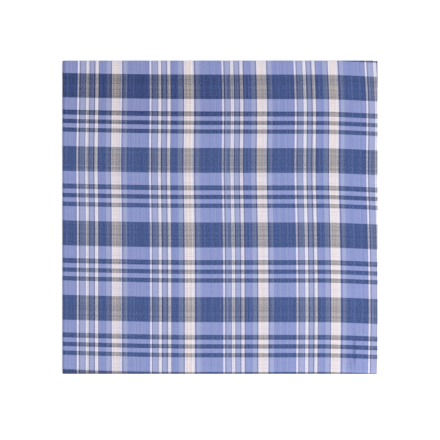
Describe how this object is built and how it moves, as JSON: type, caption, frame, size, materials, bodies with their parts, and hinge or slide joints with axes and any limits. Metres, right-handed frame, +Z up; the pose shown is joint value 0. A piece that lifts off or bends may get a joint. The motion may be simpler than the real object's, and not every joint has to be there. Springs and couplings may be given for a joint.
{
  "type": "folded pocket square",
  "caption": "Plaid cotton pocket square folded in half and in half again, lying flat, with a side fold, a lower fold and narrow turned hems on its open edges.",
  "frame": {"origin": "under the middle of the folded cloth, on the surface it lies on", "axes": "+X from the side fold towards the hemmed side edges, +Y from the lower fold towards the hemmed top edges, +Z up out of the face that shows"},
  "size_m": [0.165, 0.164, 0.0056],
  "materials": {
    "plaid_cotton": "matt plain-weave cotton, yarn-dyed in a plaid of light blue, navy, cream and white"
  },
  "bodies": {
    "root": {"pocket_square": "plaid_cotton"}
  },
  "joints": []
}
